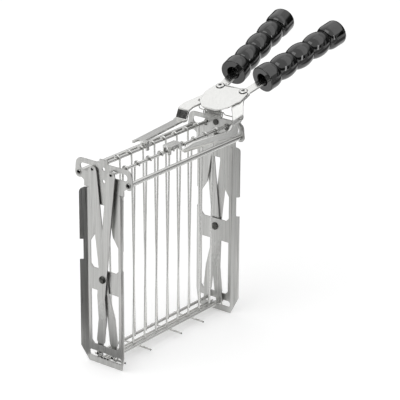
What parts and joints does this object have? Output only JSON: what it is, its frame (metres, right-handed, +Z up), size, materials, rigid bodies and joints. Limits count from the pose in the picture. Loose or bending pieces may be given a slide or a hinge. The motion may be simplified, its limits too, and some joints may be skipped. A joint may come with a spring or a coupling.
{
  "type": "sandwich toasting tongs",
  "caption": "Wire cage that clamps a filled sandwich in a slot toaster, opened by squeezing two black grips that stand up from one end.",
  "frame": {"origin": "on the lower edge of the near end plate, in the middle of its width and of its thickness", "axes": "+X along the cage towards the grips, +Y to the rear, +Z up from the surface that the end plates stand on"},
  "size_m": [0.3128, 0.0864, 0.2571],
  "materials": {
    "brushed_stainless_sheet": "brushed, upright grain",
    "polished_stainless_sheet": "polished",
    "polished_stainless_wire": "drawn and polished",
    "bright_rivet_steel": "turned, polished",
    "dark_rivet_steel": "satin",
    "spring_steel": "drawn",
    "black_plastic": "turned and polished, glossy"
  },
  "bodies": {
    "root": {"end_plate_near": "brushed_stainless_sheet", "end_plate_far": "brushed_stainless_sheet", "rail_rear": "polished_stainless_wire", "rail_front": "polished_stainless_wire", "handle_bracket": "polished_stainless_sheet", "bracket_rivets": "dark_rivet_steel", "lever_rivet_rear": "bright_rivet_steel", "lever_rivet_front": "bright_rivet_steel", "pivot_rivet_near": "dark_rivet_steel", "pivot_rivet_far": "dark_rivet_steel", "rest_rod_1": "polished_stainless_wire", "rest_rod_2": "polished_stainless_wire", "rest_rod_3": "polished_stainless_wire", "cross_wire_1": "polished_stainless_wire", "cross_wire_2": "polished_stainless_wire", "cross_wire_3": "polished_stainless_wire", "cross_wire_4": "polished_stainless_wire", "return_spring": "spring_steel"},
    "arms_a": {"arm_a_near": "brushed_stainless_sheet", "arm_a_far": "brushed_stainless_sheet", "top_rod_rear": "polished_stainless_wire"},
    "arms_b": {"arm_b_near": "brushed_stainless_sheet", "arm_b_far": "brushed_stainless_sheet", "top_rod_front": "polished_stainless_wire"},
    "rear_grid": {"bottom_rod_rear": "polished_stainless_wire", "rear_wire_1": "polished_stainless_wire", "rear_wire_2": "polished_stainless_wire", "rear_wire_3": "polished_stainless_wire", "rear_wire_4": "polished_stainless_wire", "rear_wire_5": "polished_stainless_wire", "rear_wire_6": "polished_stainless_wire", "rear_wire_7": "polished_stainless_wire", "rear_wire_8": "polished_stainless_wire", "rear_wire_9": "polished_stainless_wire"},
    "front_grid": {"bottom_rod_front": "polished_stainless_wire", "front_wire_1": "polished_stainless_wire", "front_wire_2": "polished_stainless_wire", "front_wire_3": "polished_stainless_wire", "front_wire_4": "polished_stainless_wire", "front_wire_5": "polished_stainless_wire", "front_wire_6": "polished_stainless_wire", "front_wire_7": "polished_stainless_wire", "front_wire_8": "polished_stainless_wire", "front_wire_9": "polished_stainless_wire"},
    "rear_lever": {"lever_rear": "polished_stainless_sheet", "grip_rear": "black_plastic"},
    "front_lever": {"lever_front": "polished_stainless_sheet", "grip_front": "black_plastic"}
  },
  "joints": [
    {"name": "arms_a_swing", "type": "hinge", "parent": "root", "child": "arms_a", "pos_m": [0, 0, 0.084], "axis": [-1, 0, 0], "range_deg": [0, 4]},
    {"name": "arms_b_swing", "type": "hinge", "parent": "root", "child": "arms_b", "pos_m": [0, 0, 0.084], "axis": [1, 0, 0], "range_deg": [0, 4]},
    {"name": "rear_grid_swing", "type": "hinge", "parent": "arms_a", "child": "rear_grid", "pos_m": [0, 0.01111, 0.18459], "axis": [1, 0, 0], "range_deg": [0, 3.51]},
    {"name": "front_grid_swing", "type": "hinge", "parent": "arms_b", "child": "front_grid", "pos_m": [0, -0.01111, 0.18459], "axis": [-1, 0, 0], "range_deg": [0, 3.51]},
    {"name": "rear_lever_swing", "type": "hinge", "parent": "root", "child": "rear_lever", "pos_m": [0.1822, 0.0132, 0.21099], "axis": [0.2706, 0, -0.9627], "range_deg": [0, 3.53], "stiffness_Nm_per_rad": 1.5, "springref_deg": -5.73, "deforming": ["return_spring"]},
    {"name": "front_lever_swing", "type": "hinge", "parent": "root", "child": "front_lever", "pos_m": [0.1822, -0.0132, 0.21099], "axis": [-0.2706, 0, 0.9627], "range_deg": [0, 3.54]}
  ],
  "couplings": [
    {"joint": "front_lever_swing", "follows": "rear_lever_swing", "ratio": 1},
    {"joint": "arms_a_swing", "follows": "rear_lever_swing", "ratio": 1.1331},
    {"joint": "arms_b_swing", "follows": "rear_lever_swing", "ratio": 1.1331},
    {"joint": "rear_grid_swing", "follows": "rear_lever_swing", "ratio": 0.99184},
    {"joint": "front_grid_swing", "follows": "rear_lever_swing", "ratio": 0.99184}
  ]
}
